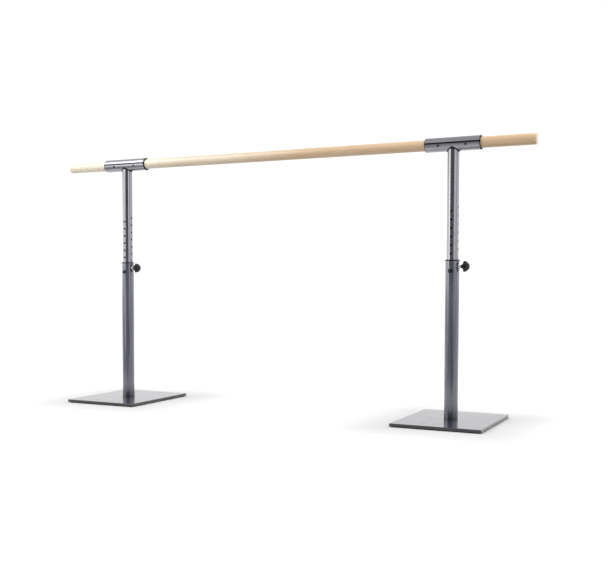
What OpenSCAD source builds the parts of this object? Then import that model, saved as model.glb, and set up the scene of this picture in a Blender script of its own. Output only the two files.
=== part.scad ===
// Free-standing ballet barre: one round wooden rail on two telescopic steel posts.
// Millimetres. Origin on the floor, midway between the two posts. +X runs along
// the rail, +Z is up, and -Y is the side with the visible clamp screws and labels.
// Every sub-part is drawn where it stands at the rest height.

/* [Rail] */
// Length of the wooden rail
bar_length = 2000; // [1700:10:2400]
// Diameter of the wooden rail
bar_d = 40; // [38:0.5:42]
// Height of the rail's axis above the floor at the rest height
bar_height = 990; // [960:5:1040]
// Radius of the softened edge at each end of the rail
bar_end_round = 4; // [1:0.5:8]

/* [Stand spacing] */
// Distance from the centre of the object to each post
post_x = 708; // [500:1:740]

/* [Base plates] */
// Size of each base plate along the rail
plate_x = 326; // [260:2:400]
// Size of each base plate across the rail
plate_y = 396; // [300:2:460]
// Thickness of each base plate
plate_t = 10; // [8:1:14]
// Corner radius of each base plate
plate_corner = 5; // [2:1:20]
// Height of the rubber pads under each plate
pad_h = 3; // [2:0.5:5]
// Radius of each rubber pad
pad_r = 15; // [10:1:20]

/* [Posts] */
// Outside diameter of the lower, fixed tube
outer_d = 50; // [48.3:0.1:50.8]
// Wall thickness of the lower tube
outer_wall = 2; // [1.5:0.1:2]
// Height of the top of the lower tube above the floor
outer_top = 578; // [570:1:590]
// Outside diameter of the upper, sliding tube
inner_d = 42.4; // [41:0.1:42.4]
// Wall thickness of the sliding tube
inner_wall = 2; // [1.5:0.1:2.5]
// Height of the foot of the sliding tube at the rest height
inner_foot = 262; // [240:1:300]

/* [Height holes] */
// Distance between two holes of one row
hole_pitch = 30; // [25:1:35]
// Diameter of each hole
hole_d = 8.4; // [8.2:0.1:9]
// Holes of the locking row above the one at the knob
holes_up = 7; // [5:1:7]
// Holes of the locking row below the one at the knob
holes_down = 5; // [3:1:6]

/* [Locking screw] */
// Height of the locking screw above the floor
knob_z = 558; // [552:1:558]
// Diameter of the screw's thread
stud_d = 10; // [9:0.5:10]
// Diameter of the pin at the screw's tip
pin_d = 7.4; // [6:0.1:7.6]
// Widest diameter of the star knob, over its lobes
knob_d = 40; // [36:1:44]
// Number of lobes
knob_lobes = 7; // [5:1:8]

/* [Rail clamps] */
// Length of each clamp
clamp_len = 198; // [180:2:240]
// Thickness of the clamp's steel shells
clamp_wall = 3; // [2.5:0.5:3]
// Thickness of the plastic liner between shells and rail
liner_t = 2.4; // [2.2:0.1:3]
// Height of the slot between the two shells
seam_gap = 5; // [3:0.5:6]
// How far the slot's middle lies above the rail's axis
seam_rise = 2.9; // [2.5:0.1:4]
// Distance from the post's axis to each clamp screw
screw_x = 50; // [40:1:70]

/* [Hidden] */
$fn = 96;

bar_r = bar_d / 2;
plate_top = pad_h + plate_t;
outer_r = outer_d / 2;
outer_ri = outer_r - outer_wall;
inner_r = inner_d / 2;
inner_ri = inner_r - inner_wall;
liner_ri = bar_r + 0.05;               // the liner grips the rail
shell_ri = bar_r + liner_t;            // inside of the steel shells
shell_r = shell_ri + clamp_wall;       // outside of the steel shells
liner_ro = shell_ri - 0.05;
seam_lo = seam_rise - seam_gap / 2;    // top edge of the lower shell
seam_hi = seam_rise + seam_gap / 2;    // bottom edge of the upper shell
screw_drop = -6;                       // clamp screws' height from the rail's axis
seat_y = shell_r - 2.2;                // flat seat under each screw head
flange_h = 4.2;                        // collar of the guide bush
bush_len = 13;                         // how far the bush reaches into the tube
boss_end = outer_r + 3.05;             // outer face of the threaded boss
stud_shoulder = inner_r + 3.6;         // where the thread ends and the pin begins
stud_tip = inner_r + 0.3;              // the pin's tip, backed off clear of the tube
hub_x = boss_end + 3.55;                // near end of the knob's neck
knob_r = knob_d / 2;
lobe_r = knob_r * 0.235;
head_x = hub_x + 10.2;                 // back of the knob's lobes
head_t = 21.2;                         // depth of the knob's domed head
bore_end = hub_x + 17;
lobe_turn = 10;                        // how far the first lobe is turned from straight up
label_z = knob_z - 16;

// a bar along +X, from x0 to x1
module xcyl(r, x0, x1) { translate([x0, 0, 0]) rotate([0, 90, 0]) cylinder(r = r, h = x1 - x0); }
// a bar along +Y, from y0 to y1
module ycyl(r, y0, y1) { translate([0, y0, 0]) rotate([-90, 0, 0]) cylinder(r = r, h = y1 - y0); }
// a body turned about the X axis from [x, radius] points
module xturn(points) { rotate([0, 90, 0]) rotate([0, 0, 90]) rotate_extrude() polygon([for (p = points) [p[1], p[0]]]); }
// a rectangle with round corners, exact arcs
module round_rect(w, d, r) {
  union() {
    square([w - 2 * r, d], center = true);
    square([w, d - 2 * r], center = true);
    for (sx = [-1, 1]) for (sy = [-1, 1]) translate([sx * (w / 2 - r), sy * (d / 2 - r)]) circle(r = r);
  }
}
// both posts carry the same parts, moved along the rail
module left_side() { translate([-post_x, 0, 0]) children(); }
module right_side() { translate([post_x, 0, 0]) children(); }

// ---------------------------------------------------------------- rail
module wooden_bar() {
  e = bar_end_round;
  h = bar_length / 2;
  steps = 6;
  color([0.90, 0.78, 0.62]) translate([0, 0, bar_height])
    xturn(concat(
      [[-h, 0]],
      [for (i = [0 : steps]) [-h + e * (1 - cos(90 * i / steps)), bar_r - e * (1 - sin(90 * i / steps))]],
      [for (i = [steps : -1 : 0]) [h - e * (1 - cos(90 * i / steps)), bar_r - e * (1 - sin(90 * i / steps))]],
      [[h, 0]]
    ));
}

// ---------------------------------------------------------------- base
module base_plate() {
  bevel = 1.5;
  color([0.36, 0.37, 0.40])
  difference() {
    intersection() {
      translate([0, 0, pad_h]) linear_extrude(height = plate_t) round_rect(plate_x, plate_y, plate_corner);
      rotate([90, 0, 0]) translate([0, 0, -plate_y]) linear_extrude(height = 2 * plate_y)
        polygon([[-plate_x / 2, pad_h], [plate_x / 2, pad_h], [plate_x / 2, plate_top - bevel],
                 [plate_x / 2 - bevel, plate_top], [-plate_x / 2 + bevel, plate_top], [-plate_x / 2, plate_top - bevel]]);
      rotate([90, 0, 90]) translate([0, 0, -plate_x]) linear_extrude(height = 2 * plate_x)
        polygon([[-plate_y / 2, pad_h], [plate_y / 2, pad_h], [plate_y / 2, plate_top - bevel],
                 [plate_y / 2 - bevel, plate_top], [-plate_y / 2 + bevel, plate_top], [-plate_y / 2, plate_top - bevel]]);
    }
    translate([0, 0, -1]) cylinder(r = 6.4, h = plate_top + 5);
    translate([0, 0, pad_h - 0.01]) cylinder(r1 = 12.2, r2 = 6.4, h = 5.8);
  }
}

module rubber_pads() {
  color([0.09, 0.09, 0.10])
  for (sx = [-1, 1]) for (sy = [-1, 1])
    translate([sx * (plate_x / 2 - pad_r - 5), sy * (plate_y / 2 - pad_r - 5), 0])
      rotate_extrude() polygon([[0, 0], [pad_r - 1, 0], [pad_r, 0.8], [pad_r, pad_h], [0, pad_h]]);
}

module outer_tube() {
  color([0.40, 0.41, 0.45])
  difference() {
    translate([0, 0, plate_top]) cylinder(r = outer_r, h = outer_top - plate_top);
    translate([0, 0, plate_top - 1]) cylinder(r = outer_ri, h = outer_top - plate_top + 2);
    translate([0, 0, knob_z]) xcyl(5.5, outer_ri - 6, outer_r + 6);
  }
}

// threaded disc welded into the foot of the lower tube
module tube_plug() {
  color([0.62, 0.63, 0.65])
  difference() {
    translate([0, 0, plate_top]) cylinder(r = outer_ri - 0.05, h = 14);
    translate([0, 0, plate_top - 1]) cylinder(r = 6.05, h = 16);
  }
}

// countersunk socket screw that holds the plate to the tube, from below
module base_bolt() {
  color([0.66, 0.66, 0.67])
  difference() {
    translate([0, 0, pad_h + 0.3])
      rotate_extrude() polygon([[0, 0], [11.6, 0], [11.6, 0.3], [6, 5.9], [6, plate_t + 12.2], [5.2, plate_t + 13], [0, plate_t + 13]]);
    translate([0, 0, pad_h - 1]) cylinder(r = 4.62, h = 5.2, $fn = 6);
  }
}

// ---------------------------------------------------------------- lock
// nylon collar that rests on the lower tube and guides the sliding tube
module guide_bush() {
  color([0.07, 0.07, 0.08])
  rotate_extrude() polygon([
    [inner_r + 0.08, outer_top - bush_len], [outer_ri - 0.05, outer_top - bush_len],
    [outer_ri - 0.05, outer_top], [outer_r + 0.95, outer_top],
    [outer_r + 1.2, outer_top + 0.4], [outer_r + 1.2, outer_top + flange_h - 1],
    [outer_r + 0.5, outer_top + flange_h - 0.2], [outer_r - 0.3, outer_top + flange_h],
    [inner_r + 0.6, outer_top + flange_h], [inner_r + 0.08, outer_top + flange_h - 0.6]]);
}

// round threaded boss welded to the lower tube
module screw_boss() {
  color([0.60, 0.61, 0.64])
  difference() {
    translate([0, 0, knob_z]) xturn([[outer_r - 3, 5.05], [outer_r - 3, 8.6], [boss_end - 1, 8.6],
                                     [boss_end - 0.3, 8.3], [boss_end, 7.6], [boss_end, 5.05]]);
    translate([0, 0, knob_z - 20]) cylinder(r = outer_r, h = 40);
  }
}

// plain rectangular sticker
module label() {
  color([0.10, 0.10, 0.13])
  intersection() {
    difference() {
      translate([0, 0, label_z - 6.75]) cylinder(r = outer_r + 0.2, h = 13.5);
      translate([0, 0, label_z - 8]) cylinder(r = outer_r, h = 16);
    }
    translate([-8.6, -40, label_z - 10]) cube([17.2, 40, 20]);
  }
}

// threaded stud with a plain pin at its tip
module lock_stud() {
  r = stud_d / 2;
  g = 1.5;
  n = floor((bore_end - 5 - stud_shoulder - 1.2) / g);
  color([0.72, 0.72, 0.74]) translate([0, 0, knob_z])
    xturn(concat(
      [[stud_tip, 0], [stud_tip, pin_d / 2 - 0.8], [stud_tip + 0.8, pin_d / 2], [stud_shoulder, pin_d / 2],
       [stud_shoulder, r - 0.7]],
      [for (i = [0 : n - 1]) each [
        [stud_shoulder + 0.6 + g * i, r], [stud_shoulder + 0.8 + g * i, r],
        [stud_shoulder + 1.25 + g * i, r - 0.7], [stud_shoulder + 1.45 + g * i, r - 0.7]]],
      [[stud_shoulder + 0.6 + g * n, r], [bore_end - 0.6, r], [bore_end - 0.3, r - 0.4], [bore_end - 0.3, 0]]));
}

// moulded star knob: slender neck, round lobes cut by one domed face
module star_knob() {
  // how the dome falls from the lobes to the middle: depth, share of the radius
  dome = [[3.4, 1.03], [7, 0.955], [10, 0.875], [13, 0.765], [16, 0.625], [18.6, 0.46], [20.4, 0.29], [head_t, 0.1], [head_t, 0]];
  color([0.05, 0.05, 0.055]) translate([0, 0, knob_z])
  difference() {
    intersection() {
      union() {
        xturn([[hub_x, 0], [hub_x, 6.1], [hub_x + 0.5, 6.6], [hub_x + 4, 7.2], [hub_x + 6, 8.3], [hub_x + 8, 10.3],
               [head_x, 13.4], [head_x + 1, 14.4], [head_x + head_t + 1, 14.4], [head_x + head_t + 1, 0]]);
        for (i = [0 : knob_lobes - 1])
          rotate([lobe_turn + 360 * i / knob_lobes, 0, 0]) translate([0, 0, knob_r - lobe_r])
            xturn([[head_x - 0.4, 0], [head_x - 0.4, lobe_r - 1.4], [head_x + 0.4, lobe_r - 0.4], [head_x + 1.6, lobe_r],
                   [head_x + head_t + 1, lobe_r], [head_x + head_t + 1, 0]]);
      }
      xturn(concat([[hub_x - 1, 0], [hub_x - 1, knob_r + 2], [head_x + 3, knob_r + 2]],
                   [for (p = dome) [head_x + p[0], p[1] * knob_r]]));
    }
    xcyl(stud_d / 2 + 0.05, hub_x - 1, bore_end);
  }
}

// ---------------------------------------------------------------- sliding tube
module inner_tube() {
  top = bar_height - 4;
  color([0.44, 0.45, 0.49])
  difference() {
    translate([0, 0, inner_foot]) cylinder(r = inner_r, h = top - inner_foot);
    translate([0, 0, inner_foot - 1]) cylinder(r = inner_ri, h = top - inner_foot + 2);
    translate([0, 0, bar_height]) xcyl(shell_r, -60, 60);
    // locking row, drilled through along the rail
    for (k = [-holes_down : holes_up])
      translate([0, 0, knob_z + hole_pitch * k]) xcyl(hole_d / 2, -40, 40);
    // second row, drilled through across the rail, half a pitch lower
    for (k = [-holes_down + 1 : holes_up])
      translate([0, 0, knob_z - hole_pitch / 2 + hole_pitch * k]) ycyl(hole_d / 2, -40, 40);
  }
}

// plastic foot that keeps the sliding tube centred
module tube_slider() {
  color([0.08, 0.08, 0.09])
  rotate_extrude() polygon([
    [0, inner_foot - 5], [outer_ri - 1.0, inner_foot - 5], [outer_ri - 0.35, inner_foot - 4.2], [outer_ri - 0.35, inner_foot],
    [inner_ri - 0.05, inner_foot], [inner_ri - 0.05, inner_foot + 14], [inner_ri - 1, inner_foot + 16],
    [inner_ri - 3, inner_foot + 16], [inner_ri - 3, inner_foot + 1], [0, inner_foot + 1]]);
}

// black plastic collar that closes the joint between the sliding tube and the clamp
module saddle_seal() {
  color([0.05, 0.05, 0.055])
  difference() {
    intersection() {
      translate([0, 0, bar_height - 40]) cylinder(r = inner_r + 1.9, h = 40);
      translate([0, 0, bar_height]) xcyl(shell_r + 2.3, -60, 60);
    }
    translate([0, 0, bar_height - 50]) cylinder(r = inner_r + 0.05, h = 60);
    translate([0, 0, bar_height]) xcyl(shell_r + 0.05, -70, 70);
  }
}

// ---------------------------------------------------------------- clamp
// side outline of a shell, round where it meets the slot: x by z
module shell_side(z0, z1, r) {
  translate([0, (z0 + z1) / 2]) round_rect(clamp_len, z1 - z0, r);
}

module clamp_lower() {
  color([0.46, 0.47, 0.51]) translate([0, 0, bar_height])
  difference() {
    intersection() {
      xcyl(shell_r, -clamp_len / 2, clamp_len / 2);
      translate([0, 50, 0]) rotate([90, 0, 0]) linear_extrude(height = 100) shell_side(-60, seam_lo, 6);
    }
    xcyl(shell_ri, -clamp_len, clamp_len);
    for (sx = [-1, 1]) for (sy = [-1, 1]) translate([sx * screw_x, 0, screw_drop]) {
      ycyl(2.7, sy > 0 ? 10 : -40, sy > 0 ? 40 : -10);
      ycyl(4.3, sy > 0 ? seat_y : -40, sy > 0 ? 40 : -seat_y);
    }
  }
}

// upper shell with four inner tabs that take the clamp screws
module clamp_upper() {
  color([0.42, 0.43, 0.48]) translate([0, 0, bar_height])
  difference() {
    union() {
      difference() {
        intersection() {
          xcyl(shell_r, -clamp_len / 2, clamp_len / 2);
          translate([0, 50, 0]) rotate([90, 0, 0]) linear_extrude(height = 100) shell_side(seam_hi, 60, 2.5);
        }
        xcyl(shell_ri, -clamp_len, clamp_len);
      }
      for (sx = [-1, 1]) for (sy = [-1, 1])
        intersection() {
          difference() {
            union() {
              translate([sx * screw_x, 0, 0]) xcyl(liner_ro, -8, 8);
              intersection() {
                translate([sx * screw_x, 0, 0]) xcyl(shell_ri + 0.8, -8, 8);
                translate([-clamp_len, -50, seam_hi]) cube([2 * clamp_len, 100, 50]);
              }
            }
            translate([sx * screw_x, 0, 0]) xcyl(bar_r + 0.15, -20, 20);
          }
          translate([sx * screw_x - 8, sy > 0 ? 5 : -45, screw_drop - 5.5]) cube([16, 40, 22.5]);
        }
    }
    for (sx = [-1, 1]) for (sy = [-1, 1]) translate([sx * screw_x, 0, screw_drop])
      ycyl(2.5, sy > 0 ? 10 : -24, sy > 0 ? 24 : -10);
  }
}

// plastic liner with an end collar, slit underneath, windowed for the tabs
module clamp_liner() {
  color([0.05, 0.05, 0.055]) translate([0, 0, bar_height])
  difference() {
    xturn([[-clamp_len / 2 - 1.8, liner_ri], [-clamp_len / 2 - 1.8, shell_r - 0.9], [-clamp_len / 2 - 1.1, shell_r - 0.2],
           [-clamp_len / 2, shell_r - 0.2], [-clamp_len / 2, liner_ro], [clamp_len / 2, liner_ro],
           [clamp_len / 2, shell_r - 0.2], [clamp_len / 2 + 1.1, shell_r - 0.2], [clamp_len / 2 + 1.8, shell_r - 0.9],
           [clamp_len / 2 + 1.8, liner_ri]]);
    translate([-clamp_len, -1, -40]) cube([2 * clamp_len, 2, 40]);
    for (sx = [-1, 1]) for (sy = [-1, 1])
      translate([sx * screw_x - 8.4, sy > 0 ? 5 : -45, screw_drop - 6.1]) cube([16.8, 40, 23.5]);
  }
}

// socket cap screws through the lower shell into the tabs
module clamp_screws() {
  color([0.06, 0.06, 0.07]) translate([0, 0, bar_height])
  for (sx = [-1, 1]) for (sy = [0, 180])
    translate([sx * screw_x, 0, screw_drop]) rotate([0, 0, sy])
      difference() {
        rotate([90, 0, 0]) rotate_extrude() polygon([
          [0, bar_r + 0.35], [2, bar_r + 0.35], [2.4, bar_r + 0.8], [2.4, seat_y], [3.7, seat_y], [3.7, seat_y + 3.6],
          [3.2, seat_y + 4.1], [0, seat_y + 4.1]]);
        translate([0, -seat_y - 2.1, 0]) rotate([90, 0, 0]) cylinder(r = 1.75, h = 5, $fn = 6);
      }
}

// ---------------------------------------------------------------- the parts in place
wooden_bar();

left_side() base_plate();  // left_base_plate
left_side() rubber_pads();  // left_rubber_pads
left_side() outer_tube();  // left_outer_tube
left_side() tube_plug();  // left_tube_plug
left_side() base_bolt();  // left_base_bolt
left_side() guide_bush();  // left_guide_bush
left_side() screw_boss();  // left_screw_boss
left_side() label();  // left_label
left_side() lock_stud();  // left_lock_stud
left_side() star_knob();  // left_star_knob
left_side() inner_tube();  // left_inner_tube
left_side() tube_slider();  // left_tube_slider
left_side() saddle_seal();  // left_saddle_seal
left_side() clamp_lower();  // left_clamp_lower
left_side() clamp_upper();  // left_clamp_upper
left_side() clamp_liner();  // left_clamp_liner
left_side() clamp_screws();  // left_clamp_screws

right_side() base_plate();  // right_base_plate
right_side() rubber_pads();  // right_rubber_pads
right_side() outer_tube();  // right_outer_tube
right_side() tube_plug();  // right_tube_plug
right_side() base_bolt();  // right_base_bolt
right_side() guide_bush();  // right_guide_bush
right_side() screw_boss();  // right_screw_boss
right_side() label();  // right_label
right_side() lock_stud();  // right_lock_stud
right_side() star_knob();  // right_star_knob
right_side() inner_tube();  // right_inner_tube
right_side() tube_slider();  // right_tube_slider
right_side() saddle_seal();  // right_saddle_seal
right_side() clamp_lower();  // right_clamp_lower
right_side() clamp_upper();  // right_clamp_upper
right_side() clamp_liner();  // right_clamp_liner
right_side() clamp_screws();  // right_clamp_screws
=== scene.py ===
import bpy, bmesh, math
import numpy as np
from mathutils import Vector, Matrix


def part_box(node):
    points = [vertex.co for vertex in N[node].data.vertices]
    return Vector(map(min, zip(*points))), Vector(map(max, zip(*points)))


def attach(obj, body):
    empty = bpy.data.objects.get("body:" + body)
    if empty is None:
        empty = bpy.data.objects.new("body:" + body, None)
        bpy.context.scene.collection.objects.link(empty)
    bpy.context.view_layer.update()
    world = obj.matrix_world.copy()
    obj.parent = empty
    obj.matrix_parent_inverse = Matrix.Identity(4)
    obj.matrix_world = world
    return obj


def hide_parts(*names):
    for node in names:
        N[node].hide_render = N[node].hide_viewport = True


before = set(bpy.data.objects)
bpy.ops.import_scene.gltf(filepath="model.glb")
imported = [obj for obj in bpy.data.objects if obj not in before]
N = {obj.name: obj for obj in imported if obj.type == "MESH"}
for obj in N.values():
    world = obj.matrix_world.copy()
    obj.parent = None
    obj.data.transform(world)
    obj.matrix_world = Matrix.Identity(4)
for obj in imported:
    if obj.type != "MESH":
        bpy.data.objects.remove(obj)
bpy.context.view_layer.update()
scene = bpy.context.scene

# ------------------------------------------------------------------ camera
W, H = 608.0, 568.0
FOCAL, PPX, PPY = 908.85, 304.0, 325.3
YAW, PITCH, ROLL = math.radians(-25.869), math.radians(-2.816), math.radians(0.128)
cam_data = bpy.data.cameras.new("view")
cam = bpy.data.objects.new("view", cam_data)
scene.collection.objects.link(cam)
fw = Vector((math.sin(YAW) * math.cos(PITCH), math.cos(YAW) * math.cos(PITCH), math.sin(PITCH)))
rt = Vector((math.cos(YAW), -math.sin(YAW), 0.0))
up = rt.cross(fw)
r2 = rt * math.cos(ROLL) + up * math.sin(ROLL)
u2 = up * math.cos(ROLL) - rt * math.sin(ROLL)
m = Matrix((r2, u2, -fw)).transposed().to_4x4()
m.translation = Vector((1.647, -3.1448, 0.5069))
cam.matrix_world = m
cam_data.sensor_width = 36.0
cam_data.lens = FOCAL * 36.0 / W
cam_data.shift_x = (W / 2 - PPX) / W
cam_data.shift_y = (PPY - H / 2) / W
cam_data.clip_start, cam_data.clip_end = 0.05, 100
scene.camera = cam

scene.view_settings.view_transform = "Standard"
scene.view_settings.look = "None"
scene.view_settings.exposure = 0.0
scene.view_settings.gamma = 1.0


# ------------------------------------------------------------------ node helpers
def lin(r, g, b):
    """An sRGB colour, 0 to 255, as the linear colour a socket takes."""
    return tuple((c / 255 / 12.92) if c / 255 <= 0.04045 else ((c / 255 + 0.055) / 1.055) ** 2.4 for c in (r, g, b)) + (1.0,)


class Mat:
    """A small wrapper that keeps node set-ups short."""

    def __init__(self, name):
        self.m = bpy.data.materials.new(name)
        self.m.use_nodes = True
        self.nt = self.m.node_tree
        self.nt.nodes.clear()
        self.out = self.nt.nodes.new("ShaderNodeOutputMaterial")
        self.b = self.nt.nodes.new("ShaderNodeBsdfPrincipled")
        self.nt.links.new(self.b.outputs[0], self.out.inputs[0])
        self.obj = self.nt.nodes.new("ShaderNodeTexCoord").outputs["Object"]

    def set(self, **k):
        for name, v in k.items():
            self.b.inputs[name.replace("_", " ")].default_value = v
        return self

    def link(self, a, b):
        self.nt.links.new(a, b)

    def scaled(self, sx, sy, sz, loc=(0, 0, 0), rot=(0, 0, 0), vec=None):
        n = self.nt.nodes.new("ShaderNodeMapping")
        n.inputs["Scale"].default_value = (sx, sy, sz)
        n.inputs["Location"].default_value = loc
        n.inputs["Rotation"].default_value = rot
        self.link(vec or self.obj, n.inputs["Vector"])
        return n.outputs[0]

    def noise(self, scale, detail=3.0, rough=0.5, vec=None, distort=0.0, dims="3D"):
        n = self.nt.nodes.new("ShaderNodeTexNoise")
        n.noise_dimensions = dims
        n.inputs["Scale"].default_value = scale
        n.inputs["Detail"].default_value = detail
        n.inputs["Roughness"].default_value = rough
        n.inputs["Distortion"].default_value = distort
        self.link(vec or self.obj, n.inputs["Vector"])
        return n.outputs["Fac"]

    def voronoi(self, scale, vec=None, feature="F1", out="Distance"):
        n = self.nt.nodes.new("ShaderNodeTexVoronoi")
        n.feature = feature
        n.inputs["Scale"].default_value = scale
        self.link(vec or self.obj, n.inputs["Vector"])
        return n.outputs[out]

    def ramp(self, fac, stops):
        n = self.nt.nodes.new("ShaderNodeValToRGB")
        e = n.color_ramp.elements
        while len(e) > 1:
            e.remove(e[-1])
        e[0].position, e[0].color = stops[0][0], stops[0][1]
        for p, c in stops[1:]:
            x = e.new(p)
            x.color = c
        self.link(fac, n.inputs[0])
        return n.outputs[0]

    def remap(self, fac, a, b, c, d, clamp=True):
        n = self.nt.nodes.new("ShaderNodeMapRange")
        n.clamp = clamp
        for i, v in zip(("From Min", "From Max", "To Min", "To Max"), (a, b, c, d)):
            n.inputs[i].default_value = v
        self.link(fac, n.inputs["Value"])
        return n.outputs[0]

    def math(self, op, a, b=None, clamp=False):
        n = self.nt.nodes.new("ShaderNodeMath")
        n.operation = op
        n.use_clamp = clamp
        for i, v in ((0, a), (1, b)):
            if v is None:
                continue
            if isinstance(v, (int, float)):
                n.inputs[i].default_value = v
            else:
                self.link(v, n.inputs[i])
        return n.outputs[0]

    def mix(self, fac, a, b, mode="MIX"):
        n = self.nt.nodes.new("ShaderNodeMix")
        n.data_type = "RGBA"
        n.blend_type = mode
        for s, v in ((n.inputs[0], fac), (n.inputs[6], a), (n.inputs[7], b)):
            if isinstance(v, (int, float, tuple)):
                s.default_value = v
            else:
                self.link(v, s)
        return n.outputs[2]

    def bump(self, *layers):
        """layers are (height socket, strength, distance in metres)."""
        prev = None
        for h, strength, dist in layers:
            n = self.nt.nodes.new("ShaderNodeBump")
            n.inputs["Strength"].default_value = strength
            n.inputs["Distance"].default_value = dist
            self.link(h, n.inputs["Height"])
            if prev is not None:
                self.link(prev, n.inputs["Normal"])
            prev = n.outputs[0]
        self.link(prev, self.b.inputs["Normal"])
        return prev

    def color(self, sock):
        self.link(sock, self.b.inputs["Base Color"])

    def rough(self, sock):
        self.link(sock, self.b.inputs["Roughness"])


def put(node, mat):
    """Gives a CAD node or piece one material."""
    o = N[node] if isinstance(node, str) else node
    o.data.materials.clear()
    o.data.materials.append(mat.m if isinstance(mat, Mat) else mat)


# ------------------------------------------------------------------ materials
def powder_coat(name, dark, light, metallic, rough, coat, coat_rough, peel=0.018, spec=0.5, coat_ior=1.5, recess_shade=None, foot=False, side_shade=None):
    """Powder coat: fine metallic flakes, a slight orange peel under the gloss, and faint handling marks."""
    k = Mat(name)
    flake = k.noise(2600, 2, 0.6)
    cloud = k.noise(11, 5, 0.6)
    c = k.mix(k.remap(flake, 0.36, 0.66, 0, 1), dark, light)
    c = k.mix(k.remap(cloud, 0.38, 0.66, 0.0, 0.22), c, light)
    # hairline scuffs from handling
    scuff = k.noise(46, 8, 0.75, vec=k.scaled(1, 1, 5.5))
    scuff = k.remap(scuff, 0.70, 0.76, 0, 1)
    c = k.mix(k.math("MULTIPLY", scuff, 0.35), c, tuple(min(1, v * 1.9) for v in light[:3]) + (1,))
    if recess_shade:
        # painted shade: the colour goes near black inside the clamp seam and inside the tube's bore, holes and slot,
        # by radius from the rail's axis in the clamp and from the post's axis in the tube; mostly the shade of these
        # recesses, partly steel the coat doesn't reach
        sp = k.nt.nodes.new("ShaderNodeSeparateXYZ")
        k.link(k.obj, sp.inputs[0])
        if recess_shade[0] == "rail":
            a, b = sp.outputs[1], k.math("SUBTRACT", sp.outputs[2], 0.990)
        else:
            a, b = sp.outputs[1], k.math("SUBTRACT", k.math("ABSOLUTE", sp.outputs[0]), 0.708)
        rad = k.math("SQRT", k.math("ADD", k.math("MULTIPLY", a, a), k.math("MULTIPLY", b, b)))
        c = k.mix(k.remap(rad, recess_shade[1], recess_shade[2], 0, 1), (0.007, 0.007, 0.009, 1), c)
    if side_shade:
        # painted shade: faces that don't point up, the plate's sides, are painted darker than its top, standing for
        # the shade on them
        g = k.nt.nodes.new("ShaderNodeNewGeometry")
        gz = k.nt.nodes.new("ShaderNodeSeparateXYZ")
        k.link(g.outputs["Normal"], gz.inputs[0])
        c = k.mix(k.remap(gz.outputs[2], 0.45, 0.85, 0, 1), k.mix(k.remap(flake, 0.36, 0.66, 0, 1), (0.010, 0.010, 0.011, 1), side_shade), c)
    if foot:
        # painted shade: towards the weld on the plate the colour darkens and the coat thins, darkest in a line just
        # above the plate, standing for the contact shade at the tube's foot
        fz = k.nt.nodes.new("ShaderNodeSeparateXYZ")
        k.link(k.obj, fz.inputs[0])
        foot_shade_mask = k.math("POWER", k.remap(fz.outputs[2], 0.066, 0.013, 0, 1), 1.4)
        foot_shade_mask = k.math("MAXIMUM", foot_shade_mask, k.remap(fz.outputs[2], 0.0185, 0.0165, 0, 1.25, clamp=True))
        c = k.mix(k.math("MULTIPLY", foot_shade_mask, 0.72, clamp=True), c, (0.004, 0.004, 0.006, 1))
        k.link(k.math("SUBTRACT", 1.0, k.math("MULTIPLY", foot_shade_mask, 0.62), clamp=True), k.b.inputs["Coat Weight"])
    k.color(c)
    wipe = k.noise(30, 5, 0.62, vec=k.scaled(1, 1, 0.3))
    r = k.remap(wipe, 0.32, 0.70, rough - 0.03, rough + 0.04)
    k.rough(k.math("ADD", r, k.math("MULTIPLY", scuff, 0.12)))
    k.set(Metallic=metallic, Coat_Roughness=coat_rough, Coat_IOR=coat_ior, Specular_IOR_Level=spec)
    if not foot:
        k.set(Coat_Weight=coat)
    k.bump((k.noise(520, 2, 0.5), peel, 0.0004))
    return k


# outer_coat paints shade at the tube's foot
outer_coat = powder_coat("outer_coat", (0.026, 0.029, 0.052, 1), (0.043, 0.047, 0.080, 1), 0.0, 0.36, 1.0, 0.11, spec=0.35, coat_ior=1.88, foot=True)
# inner_coat and clamp_coat paint shade inside the tube's holes and slot and inside the clamp seam
inner_coat = powder_coat("inner_coat", (0.150, 0.150, 0.168, 1), (0.216, 0.215, 0.238, 1), 1.0, 0.20, 1.0, 0.05, peel=0.010, recess_shade=("post", 0.0194, 0.0209))
clamp_coat = powder_coat("clamp_coat", (0.205, 0.207, 0.232, 1), (0.275, 0.278, 0.308, 1), 1.0, 0.27, 0.8, 0.10, peel=0.012, recess_shade=("rail", 0.02244, 0.02262))
# plate_coat paints shade on the sides of the plate
plate_coat = powder_coat("plate_coat", (0.023, 0.022, 0.044, 1), (0.039, 0.037, 0.067, 1), 0.0, 0.24, 0.75, 0.05, peel=0.005, spec=0.45, side_shade=(0.022, 0.022, 0.024, 1))


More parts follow.
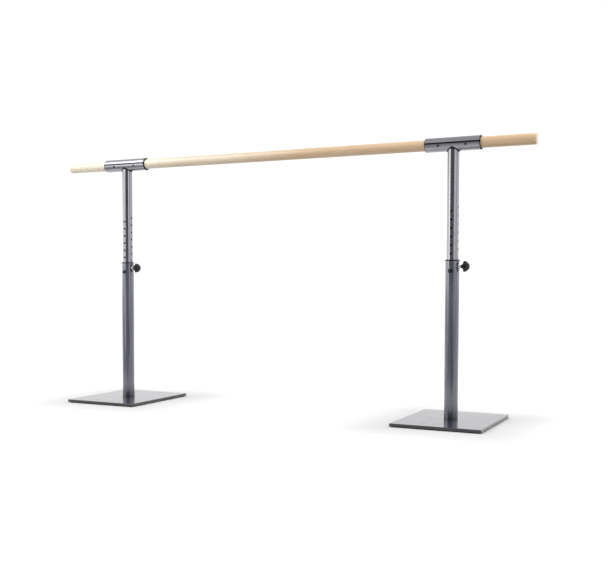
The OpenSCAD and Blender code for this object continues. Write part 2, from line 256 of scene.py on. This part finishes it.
def beech(name):
    k = Mat(name)
    # growth rings round a pith that lies beside the rail, so the ends show arcs and the sides long figure
    p = k.nt.nodes.new("ShaderNodeVectorMath")
    p.operation = "SUBTRACT"
    k.link(k.obj, p.inputs[0])
    p.inputs[1].default_value = (0, 0.021, 0.990 + 0.034)
    warp = k.nt.nodes.new("ShaderNodeTexNoise")
    warp.inputs["Scale"].default_value = 2.2
    warp.inputs["Detail"].default_value = 3
    k.link(k.scaled(0.8, 9, 9, vec=p.outputs[0]), warp.inputs["Vector"])
    w = k.nt.nodes.new("ShaderNodeVectorMath")
    w.operation = "MULTIPLY_ADD"
    k.link(warp.outputs["Color"], w.inputs[0])
    w.inputs[1].default_value = (0.0, 0.010, 0.010)
    k.link(p.outputs[0], w.inputs[2])
    flat = k.scaled(0.0, 1, 1, vec=w.outputs[0])
    ln = k.nt.nodes.new("ShaderNodeVectorMath")
    ln.operation = "LENGTH"
    k.link(flat, ln.inputs[0])
    rings = k.math("FRACT", k.math("MULTIPLY", ln.outputs["Value"], 430))
    ring = k.ramp(rings, [(0.0, (0.2, 0.2, 0.2, 1)), (0.62, (0.5, 0.5, 0.5, 1)), (0.93, (1, 1, 1, 1)), (1.0, (0.25, 0.25, 0.25, 1))])
    fibre = k.noise(60, 6, 0.62, vec=k.scaled(0.35, 26, 26))
    broad = k.noise(3.0, 3, 0.5, vec=k.scaled(1.2, 14, 14))
    # short dark rays, the mark of beech
    fleck = k.noise(95, 2, 0.5, vec=k.scaled(1.3, 14, 14))
    fleck = k.remap(fleck, 0.60, 0.70, 0, 1)
    # painted light: the board runs from warm tan to a pale, washed-out colour towards its left end, painted to stand
    # for the strong light falling there; the change wanders unevenly along the length
    sx = k.nt.nodes.new("ShaderNodeSeparateXYZ")
    k.link(k.obj, sx.inputs[0])
    drift = k.noise(1.7, 2, 0.5, vec=k.scaled(1, 6, 6))
    along = k.math("ADD", sx.outputs[0], k.remap(drift, 0.25, 0.75, -0.16, 0.16))
    left_lit_paint = k.remap(along, 0.18, -0.66, 0, 1)
    tan = k.mix(k.remap(broad, 0.3, 0.7, 0, 1), lin(203, 173, 136), lin(214, 187, 151))
    lit_pale_wood = k.mix(k.remap(broad, 0.3, 0.7, 0, 1), lin(219, 207, 186), lin(227, 219, 202))
    base = k.mix(left_lit_paint, tan, lit_pale_wood)
    # the rings, fibre and flecks are painted paler towards the left end too, part of the same painted light
    base = k.mix(k.math("MULTIPLY", ring, 0.22), base, k.mix(left_lit_paint, lin(178, 140, 102), lin(206, 186, 162)))
    base = k.mix(k.remap(fibre, 0.35, 0.72, 0, 0.28), base, k.mix(left_lit_paint, lin(184, 148, 112), lin(208, 190, 166)))
    base = k.mix(k.math("MULTIPLY", fleck, 0.32), base, k.mix(left_lit_paint, lin(150, 108, 74), lin(182, 154, 126)))
    k.color(base)
    k.rough(k.remap(fibre, 0.3, 0.75, 0.32, 0.44))
    k.set(Coat_Weight=0.5, Coat_Roughness=0.20, Coat_IOR=1.5)
    k.bump((fibre, 0.10, 0.0003), (ring, 0.05, 0.0002))
    return k


def plastic(name, dark, light, rough, coat=0.0, grain=900, depth=0.12, spec=0.5):
    k = Mat(name)
    g = k.noise(grain, 3, 0.55)
    scuff = k.noise(70, 6, 0.7)
    k.color(k.mix(k.remap(scuff, 0.45, 0.8, 0, 1), dark, light))
    k.rough(k.remap(scuff, 0.35, 0.75, rough - 0.05, rough + 0.09))
    k.set(Coat_Weight=coat, Coat_Roughness=0.08, Specular_IOR_Level=spec)
    k.bump((g, depth, 0.00015))
    return k


black_nylon = plastic("black_nylon", (0.0040, 0.0040, 0.0050, 1), (0.0095, 0.0095, 0.0115, 1), 0.58, grain=700, depth=0.08, spec=0.10)
knob_plastic = plastic("knob_plastic", (0.0022, 0.0022, 0.0024, 1), (0.0055, 0.0055, 0.0060, 1), 0.23, coat=0.36, grain=1500, depth=0.03, spec=0.15)
pad_rubber = plastic("pad_rubber", (0.012, 0.012, 0.012, 1), (0.035, 0.034, 0.033, 1), 0.75, grain=700, depth=0.3, spec=0.3)


def metal(name, dark, light, rough, turned=True):
    k = Mat(name)
    fine = k.noise(1600, 2, 0.5)
    blot = k.noise(160, 4, 0.6)
    k.color(k.mix(k.remap(blot, 0.35, 0.7, 0, 1), dark, light))
    k.rough(k.remap(fine, 0.3, 0.7, rough - 0.04, rough + 0.08))
    k.set(Metallic=1.0)
    k.bump((fine, 0.10, 0.00006))
    return k


zinc_steel = metal("zinc_steel", (0.60, 0.61, 0.63, 1), (0.78, 0.79, 0.80, 1), 0.24)
black_screw = metal("black_screw", (0.018, 0.018, 0.020, 1), (0.05, 0.05, 0.053, 1), 0.35)


def sticker(name, xc):
    """Plain dark vinyl with a fine printed frame and one divider, and no lettering."""
    k = Mat(name)
    g = k.noise(1200, 2, 0.5)
    base = k.mix(k.remap(k.noise(120, 4, 0.6), 0.4, 0.75, 0, 1), (0.0040, 0.0040, 0.0085, 1), (0.0090, 0.0090, 0.0160, 1))
    sp = k.nt.nodes.new("ShaderNodeSeparateXYZ")
    k.link(k.obj, sp.inputs[0])
    dx = k.math("SUBTRACT", sp.outputs[0], xc)
    ax = k.math("ABSOLUTE", dx)
    az = k.math("ABSOLUTE", k.math("SUBTRACT", sp.outputs[2], 0.542))
    fx = k.math("COMPARE", ax, 0.00755)
    fx.node.inputs[2].default_value = 0.00022
    fz = k.math("COMPARE", az, 0.00560)
    fz.node.inputs[2].default_value = 0.00022
    inx = k.math("LESS_THAN", ax, 0.00777)
    inz = k.math("LESS_THAN", az, 0.00582)
    dv = k.math("COMPARE", dx, -0.0024)
    dv.node.inputs[2].default_value = 0.00060
    line = k.math("MAXIMUM", k.math("MULTIPLY", fx, inz), k.math("MULTIPLY", fz, inx))
    line = k.math("MAXIMUM", line, k.math("MULTIPLY", dv, inz))
    k.color(k.mix(k.math("MULTIPLY", line, 0.8), base, (0.16, 0.16, 0.19, 1)))
    k.rough(k.remap(g, 0.3, 0.7, 0.46, 0.58))
    k.set(Specular_IOR_Level=0.09)
    k.bump((g, 0.04, 0.0001))
    return k


label_mat = {"left": sticker("sticker_left", -0.708), "right": sticker("sticker_right", 0.708)}

for s in ("left", "right"):
    put(f"{s}_base_plate", plate_coat)
    put(f"{s}_rubber_pads", pad_rubber)
    put(f"{s}_outer_tube", outer_coat)
    put(f"{s}_tube_plug", zinc_steel)
    put(f"{s}_base_bolt", zinc_steel)
    put(f"{s}_guide_bush", black_nylon)
    put(f"{s}_screw_boss", zinc_steel)
    put(f"{s}_label", label_mat[s])
    put(f"{s}_lock_stud", zinc_steel)
    put(f"{s}_star_knob", knob_plastic)
    put(f"{s}_inner_tube", inner_coat)
    put(f"{s}_tube_slider", black_nylon)
    if f"{s}_saddle_seal" in N:
        put(f"{s}_saddle_seal", black_nylon)
    put(f"{s}_clamp_lower", clamp_coat)
    put(f"{s}_clamp_upper", clamp_coat)
    put(f"{s}_clamp_liner", black_nylon)
    put(f"{s}_clamp_screws", black_screw)
put("wooden_bar", beech("beech"))

# ------------------------------------------------------------------ detailed pieces
def piece(name, verts, faces, body, node, mat, sharp=32):
    """Builds one mesh piece in millimetres, and lets it stand for a CAD node."""
    me = bpy.data.meshes.new(name)
    me.from_pydata([(x / 1000, y / 1000, z / 1000) for x, y, z in verts], [], faces)
    bm = bmesh.new()
    bm.from_mesh(me)
    bmesh.ops.remove_doubles(bm, verts=bm.verts, dist=1e-7)
    bmesh.ops.recalc_face_normals(bm, faces=bm.faces)
    bm.to_mesh(me)
    bm.free()
    me.shade_smooth()
    me.set_sharp_from_angle(angle=math.radians(sharp))
    o = bpy.data.objects.new(name, me)
    scene.collection.objects.link(o)
    put(o, mat)
    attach(o, body)
    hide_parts(node)
    return o


def star_outline(count, lobes=7, turn=10.0, core=14.4, lobe=4.7, tip=20.0, blend=2.2):
    """A star knob's outline: round lobes that flow into a round core, as count points (y, z)."""
    c = tip - lobe
    mids = [(-c * math.sin(math.radians(turn) + 2 * math.pi * i / lobes), c * math.cos(math.radians(turn) + 2 * math.pi * i / lobes)) for i in range(lobes)]

    def gap(y, z):
        a = math.hypot(y, z) - core
        b = min(math.hypot(y - my, z - mz) for my, mz in mids) - lobe
        h = min(1, max(0, 0.5 + 0.5 * (b - a) / blend))
        return b * (1 - h) + a * h - blend * h * (1 - h)

    pts = []
    for i in range(2016):
        t = math.radians(turn) + 2 * math.pi * i / 2016
        uy, uz = -math.sin(t), math.cos(t)
        lo, hi = 8.0, 24.0
        for _ in range(30):
            mid = (lo + hi) / 2
            if gap(uy * mid, uz * mid) < 0:
                lo = mid
            else:
                hi = mid
        pts.append((uy * lo, uz * lo))
    run = [0.0]
    for i in range(2016):
        a, b = pts[i], pts[(i + 1) % 2016]
        run.append(run[-1] + math.hypot(b[0] - a[0], b[1] - a[1]))
    out, j = [], 0
    for i in range(count):
        want = run[-1] * i / count
        while run[j + 1] < want:
            j += 1
        f = (want - run[j]) / (run[j + 1] - run[j])
        a, b = pts[j], pts[(j + 1) % 2016]
        out.append((a[0] + (b[0] - a[0]) * f, a[1] + (b[1] - a[1]) * f))
    return out


def rings_to_mesh(rings, tip_a, tip_b):
    """Closed skin through rings of equal count, with a point at each end."""
    n = len(rings[0])
    verts = [tip_a] + [p for r in rings for p in r] + [tip_b]
    faces = [(0, 1 + (i + 1) % n, 1 + i) for i in range(n)]
    for k in range(len(rings) - 1):
        a, b = 1 + k * n, 1 + (k + 1) * n
        faces += [(a + i, a + (i + 1) % n, b + (i + 1) % n, b + i) for i in range(n)]
    a = 1 + (len(rings) - 1) * n
    faces += [(a + i, a + (i + 1) % n, len(verts) - 1) for i in range(n)]
    return verts, faces


def star_knob(side, xc, zc):
    n = 196
    star = star_outline(n)
    turn = [math.atan2(y, z) for y, z in star]
    # each ring: x from the post's axis, share of the star, round radius, scale of the star
    hub = 31.6
    prof = [(48.3, 0, 5.1, 1), (hub, 0, 5.1, 1), (hub, 0, 5.7, 1), (31.75, 0, 6.1, 1), (32.1, 0, 6.4, 1), (33.2, 0, 6.75, 1), (34.8, 0, 7.1, 1),
            (36.2, 0, 7.6, 1), (37.6, 0, 8.4, 1), (38.8, 0.02, 9.5, 1), (39.8, 0.08, 10.7, 1), (40.5, 0.20, 12.0, 1),
            (41.0, 0.42, 12.9, 1), (41.4, 0.64, 13.5, 1), (41.8, 0.82, 14.0, 1), (42.3, 0.94, 14.4, 1), (43.0, 1, 14.4, 0.988),
            (43.8, 1, 14.4, 0.998)]
    rings = []
    for x, share, r, k in prof:
        rings.append([(xc + x, (1 - share) * r * math.sin(t) + share * k * y, zc + (1 - share) * r * math.cos(t) + share * k * z)
                      for (y, z), t in zip(star, turn)])

    def dome(x):
        return 20.0 * (1 - max(0.0, (x - 45.0) / 18.0) ** 1.6) ** (1 / 1.8)

    # the lobes run into one domed face, with a soft edge where they meet it
    x = 44.6
    while dome(x) > 9.95:
        cut, ring = dome(x), []
        for (y, z), t in zip(star, turn):
            q = math.hypot(y, z)
            h = max(0.0, 1.3 - abs(q - cut)) / 1.3
            q = min(q, cut) - h * h * 0.25 * 1.3
            ring.append((xc + x, q * math.sin(t), zc + q * math.cos(t)))
        rings.append(ring)
        x += 0.62
    # a fine groove round the cap, then the cap's own crown
    for x, r in [(60.02, 9.80), (59.85, 9.62), (59.50, 9.50), (59.46, 9.25), (59.75, 9.08), (60.35, 8.90), (60.75, 8.45), (61.20, 7.75),
                 (61.65, 6.85), (62.10, 5.70), (62.45, 4.50), (62.72, 3.20), (62.90, 1.80)]:
        rings.append([(xc + x, r * math.sin(t), zc + r * math.cos(t)) for t in turn])
    verts, faces = rings_to_mesh(rings, (xc + 48.3, 0, zc), (xc + 62.98, 0, zc))
    return piece(f"{side}_star_knob_moulded", verts, faces, f"{side}_knob", f"{side}_star_knob", knob_plastic)


def foot_pads(side, xc):
    """Four turned rubber pads with rings moulded into the face that grips the floor."""
    n = 72
    prof = [(3.4, 0.7), (4.2, 0.05), (4.6, 0.0), (6.2, 0.0), (6.6, 0.05), (7.0, 0.7), (7.8, 0.7), (8.2, 0.05), (8.6, 0.0),
            (10.2, 0.0), (10.6, 0.05), (11.0, 0.7), (11.8, 0.7), (12.2, 0.05), (12.6, 0.0), (14.0, 0.0), (14.55, 0.22), (14.9, 0.6),
            (15.0, 1.1), (15.0, 2.5), (14.8, 2.85), (14.4, 2.98)]
    verts, faces = [], []
    lo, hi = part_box(f"{side}_base_plate")
    cx, cy = (hi[0] - lo[0]) * 500 - 20, (hi[1] - lo[1]) * 500 - 20
    for sx in (-1, 1):
        for sy in (-1, 1):
            ox, oy = xc + sx * cx, sy * cy
            rings = [[(ox + r * math.cos(2 * math.pi * i / n), oy + r * math.sin(2 * math.pi * i / n), z) for i in range(n)] for r, z in prof]
            v, f = rings_to_mesh(rings, (ox, oy, 0.7), (ox, oy, 2.98))
            faces += [tuple(i + len(verts) for i in q) for q in f]
            verts += v
    return piece(f"{side}_foot_pads", verts, faces, f"{side}_stand", f"{side}_rubber_pads", pad_rubber, sharp=40)


for s, xc in (("left", -708.0), ("right", 708.0)):
    lo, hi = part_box(f"{s}_star_knob")
    star_knob(s, xc, (lo[2] + hi[2]) * 500)
    foot_pads(s, xc)

# ------------------------------------------------------------------ studio
floor_mesh = bpy.data.meshes.new("floor")
R = 40.0
floor_mesh.from_pydata([(-R, -R, -0.0002), (R, -R, -0.0002), (R, R, -0.0002), (-R, R, -0.0002)], [], [(0, 1, 2, 3)])
floor = bpy.data.objects.new("floor", floor_mesh)
scene.collection.objects.link(floor)
fmat = bpy.data.materials.new("floor_white")
fmat.use_nodes = True
fn, fl = fmat.node_tree.nodes, fmat.node_tree.links
fn.clear()
fo = fn.new("ShaderNodeOutputMaterial")
f_d = fn.new("ShaderNodeBsdfDiffuse")
f_d.inputs[0].default_value = (0.56, 0.56, 0.56, 1)
f_e = fn.new("ShaderNodeEmission")
f_e.inputs[0].default_value = (1, 1, 1, 1)

# the floor's glow is dimmed in a painted soft shadow that reaches about 0.42 m out from the two base plates, and it
# stops under them, where a real floor is in shadow
def fmath(op, a, b=None):
    n = fn.new("ShaderNodeMath")
    n.operation = op
    for i, v in ((0, a), (1, b)):
        if v is None:
            continue
        if isinstance(v, (int, float)):
            n.inputs[i].default_value = v
        else:
            fl.new(v, n.inputs[i])
    return n.outputs[0]


def fstep(v, a, b):
    n = fn.new("ShaderNodeMapRange")
    n.interpolation_type = "SMOOTHSTEP"
    for i, x in zip(("From Min", "From Max", "To Min", "To Max"), (a, b, 0, 1)):
        n.inputs[i].default_value = x
    fl.new(v, n.inputs["Value"])
    return n.outputs[0]


f_tc = fn.new("ShaderNodeTexCoord")
f_sp = fn.new("ShaderNodeSeparateXYZ")
fl.new(f_tc.outputs["Object"], f_sp.inputs[0])
plo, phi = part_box("right_base_plate")
px_mid, px_half, py_half = (plo[0] + phi[0]) / 2, (phi[0] - plo[0]) / 2, (phi[1] - plo[1]) / 2
gx = fmath("SUBTRACT", fmath("ABSOLUTE", fmath("SUBTRACT", fmath("ABSOLUTE", f_sp.outputs[0]), px_mid)), px_half)
gy = fmath("SUBTRACT", fmath("ABSOLUTE", f_sp.outputs[1]), py_half)
ox, oy = fmath("MAXIMUM", gx, 0.0), fmath("MAXIMUM", gy, 0.0)
outside = fmath("SQRT", fmath("ADD", fmath("MULTIPLY", ox, ox), fmath("MULTIPLY", oy, oy)))
gap = fmath("ADD", outside, fmath("MINIMUM", fmath("MAXIMUM", gx, gy), 0.0))
# painted shadow round the plates: the glow falls to a fifth at their edges and to nothing beneath them
floor_glow_painted_shadow = fmath("MULTIPLY", fstep(gap, -0.002, 0.006), fmath("ADD", 0.20, fmath("MULTIPLY", fstep(gap, 0.0, 0.42), 0.80)))
fl.new(fmath("MULTIPLY", floor_glow_painted_shadow, 0.49), f_e.inputs[1])
f_a = fn.new("ShaderNodeAddShader")
fl.new(f_d.outputs[0], f_a.inputs[0])
fl.new(f_e.outputs[0], f_a.inputs[1])
f_dark = fn.new("ShaderNodeBsdfDiffuse")
f_dark.inputs[0].default_value = (0.40, 0.40, 0.40, 1)
f_lp = fn.new("ShaderNodeLightPath")
f_m = fn.new("ShaderNodeMixShader")
fl.new(f_lp.outputs["Is Diffuse Ray"], f_m.inputs[0])
fl.new(f_a.outputs[0], f_m.inputs[1])
fl.new(f_dark.outputs[0], f_m.inputs[2])
fl.new(f_m.outputs[0], fo.inputs[0])
put(floor, fmat)

world = bpy.data.worlds.new("studio")
scene.world = world
world.use_nodes = True
wn, wl = world.node_tree.nodes, world.node_tree.links
wn.clear()
wo = wn.new("ShaderNodeOutputWorld")
tc = wn.new("ShaderNodeTexCoord")
sep = wn.new("ShaderNodeSeparateXYZ")
wl.new(tc.outputs["Generated"], sep.inputs[0])


def wmath(op, a, b=None):
    n = wn.new("ShaderNodeMath")
    n.operation = op
    for i, v in ((0, a), (1, b)):
        if v is None:
            continue
        if isinstance(v, (int, float)):
            n.inputs[i].default_value = v
        else:
            wl.new(v, n.inputs[i])
    return n.outputs[0]


def wramp(fac, lo, hi, stops):
    """Brightness along a direction angle in degrees: stops are (degrees, brightness)."""
    n = wn.new("ShaderNodeMapRange")
    for i, v in zip(("From Min", "From Max", "To Min", "To Max"), (math.radians(lo), math.radians(hi), 0, 1)):
        n.inputs[i].default_value = v
    wl.new(fac, n.inputs["Value"])
    r = wn.new("ShaderNodeValToRGB")
    el = r.color_ramp.elements
    while len(el) > 1:
        el.remove(el[-1])
    el[0].position, el[0].color = (stops[0][0] - lo) / (hi - lo), (stops[0][1] / 4,) * 3 + (1,)
    for p, c in stops[1:]:
        x = el.new((p - lo) / (hi - lo))
        x.color = (c / 4,) * 3 + (1,)
    wl.new(n.outputs[0], r.inputs[0])
    return r.outputs[0]


def wmix(fac, a, b):
    n = wn.new("ShaderNodeMix")
    n.data_type = "RGBA"
    wl.new(fac, n.inputs[0])
    wl.new(a, n.inputs[6])
    wl.new(b, n.inputs[7])
    return n.outputs[2]


# degrees round the room: 0 is -Y, positive towards +X; and degrees above the horizon
turn = wmath("ARCTAN2", sep.outputs[0], wmath("MULTIPLY", sep.outputs[1], -1.0))
rise = wmath("ARCSINE", sep.outputs[2])
low = wramp(turn, -180, 180, [(-180, 1.0), (-125, 1.2), (-105, 2.3), (-48, 2.5), (-40, 0.24), (54, 0.22), (62, 1.5), (78, 1.5), (94, 1.15), (112, 1.9), (126, 1.8), (150, 1.15), (180, 1.0)])
# from a little above the horizon the left end is calmer, so the rail still shows seen from its right end
low2 = wramp(turn, -180, 180, [(-180, 1.0), (-125, 1.0), (-106, 0.75), (-80, 0.75), (-73, 2.4), (-48, 2.5), (-40, 0.24), (54, 0.22), (62, 1.5), (78, 1.5), (94, 1.15), (112, 1.9), (126, 1.8), (150, 1.15), (180, 1.0)])
high = wramp(turn, -180, 180, [(-180, 0.85), (-125, 0.95), (-106, 0.75), (-80, 0.75), (-71, 3.3), (-44, 3.3), (-34, 0.85), (180, 0.85)])
top = wramp(turn, -180, 180, [(-180, 0.85), (180, 0.85)])
up1 = wramp(rise, -90, 90, [(-90, 0), (20, 0), (32, 4), (90, 4)])
up2 = wramp(rise, -90, 90, [(-90, 0), (46, 0), (56, 4), (90, 4)])
up0 = wramp(rise, -90, 90, [(-90, 0), (4.5, 0), (8.5, 4), (90, 4)])
env = wmix(up2, wmix(up1, wmix(up0, low, low2), high), top)
bg1 = wn.new("ShaderNodeBackground")
wl.new(env, bg1.inputs[0])
bg1.inputs[1].default_value = 4.0
bg2 = wn.new("ShaderNodeBackground")
bg2.inputs[0].default_value = (1, 1, 1, 1)
bg2.inputs[1].default_value = 1.1
lp = wn.new("ShaderNodeLightPath")
mx = wn.new("ShaderNodeMixShader")
wl.new(lp.outputs["Is Camera Ray"], mx.inputs[0])
wl.new(bg1.outputs[0], mx.inputs[1])
wl.new(bg2.outputs[0], mx.inputs[2])
wl.new(mx.outputs[0], wo.inputs[0])


def panel(name, a, b, z0, z1, radiance):
    """An upright soft light from a to b (x, y), between two heights, that faces the object."""
    a, b = Vector(a), Vector(b)
    mid = (a + b) / 2
    d = bpy.data.lights.new(name, "AREA")
    d.shape = "RECTANGLE"
    d.size, d.size_y = (b - a).length, z1 - z0
    d.energy = radiance * math.pi * d.size * d.size_y
    o = bpy.data.objects.new(name, d)
    scene.collection.objects.link(o)
    along = Vector((b.x - a.x, b.y - a.y, 0)).normalized()
    face = Vector((0, 0, 1)).cross(along)
    if face.dot(Vector((-mid.x, -mid.y, 0))) < 0:
        along, face = -along, -face
    # the light shines along its own -Z
    zc = -face
    xc = Vector((0, 0, 1)).cross(zc)
    mm = Matrix((xc, Vector((0, 0, 1)), zc)).transposed().to_4x4()
    mm.translation = (mid.x, mid.y, (z0 + z1) / 2)
    o.matrix_world = mm
    o.visible_camera = False
    return o


# a grey card on the floor at the front left, out of the picture, which only reflections see
card_mesh = bpy.data.meshes.new("grey_card")
card_mesh.from_pydata([(-1.15, -0.85, 0.004), (-1.95, -0.35, 0.004), (-5.2, -4.2, 0.004), (-3.9, -5.2, 0.004),
                       (-8, -1.40, 0.003), (0.118, -1.40, 0.003), (-4.04, -14, 0.003), (-8, -14, 0.003),
                       (0.468, -1.40, 0.003), (8, -1.40, 0.003), (8, -14, 0.003), (-2.88, -14, 0.003),
                       (0.78, -0.85, 0.003), (2.40, -0.85, 0.003), (2.40, -1.40, 0.003), (0.78, -1.40, 0.003),
                       (-0.66, -0.85, 0.003), (0.12, -0.85, 0.003), (0.12, -1.40, 0.003), (-0.66, -1.40, 0.003)],
                      [], [(0, 1, 2, 3), (4, 7, 6, 5), (8, 11, 10, 9), (12, 15, 14, 13), (16, 19, 18, 17)])
card = bpy.data.objects.new("grey_card", card_mesh)
scene.collection.objects.link(card)
cmat = Mat("card_grey")
cmat.set(Base_Color=(0.26, 0.26, 0.27, 1), Roughness=0.9, Specular_IOR_Level=0.1)
put(card, cmat)
card.visible_camera = card.visible_diffuse = card.visible_shadow = False


panel("left_soft", (-0.93, -1.80), (-2.35, -1.95), 0.60, 3.2, 2.5)
panel("left_low", (-0.93, -1.80), (-2.35, -1.95), 0.05, 0.60, 1.5)
panel("right_soft", (1.95, -1.66), (2.95, -1.30), 0.60, 2.6, 1.75)
panel("right_low", (1.95, -1.66), (2.95, -1.30), 0.05, 0.60, 0.55)
d = bpy.data.lights.new("top_soft", "AREA")
d.shape = "RECTANGLE"
d.size, d.size_y = 1.8, 1.8
d.energy = 34
top_light = bpy.data.objects.new("top_soft", d)
scene.collection.objects.link(top_light)
top_light.location = (1.7, 0.5, 3.1)
top_light.rotation_euler = (Vector((0.2, 0, 0.6)) - Vector((1.7, 0.5, 3.1))).to_track_quat("-Z", "Y").to_euler()
top_light.visible_camera = False
d = bpy.data.lights.new("top_left", "AREA")
d.shape = "RECTANGLE"
d.size, d.size_y = 1.0, 1.0
d.energy = 9
side_light = bpy.data.objects.new("top_left", d)
scene.collection.objects.link(side_light)
side_light.location = (-1.5, -0.9, 2.4)
side_light.rotation_euler = (Vector((-0.75, 0, 0.95)) - Vector((-1.5, -0.9, 2.4))).to_track_quat("-Z", "Y").to_euler()
side_light.visible_camera = False
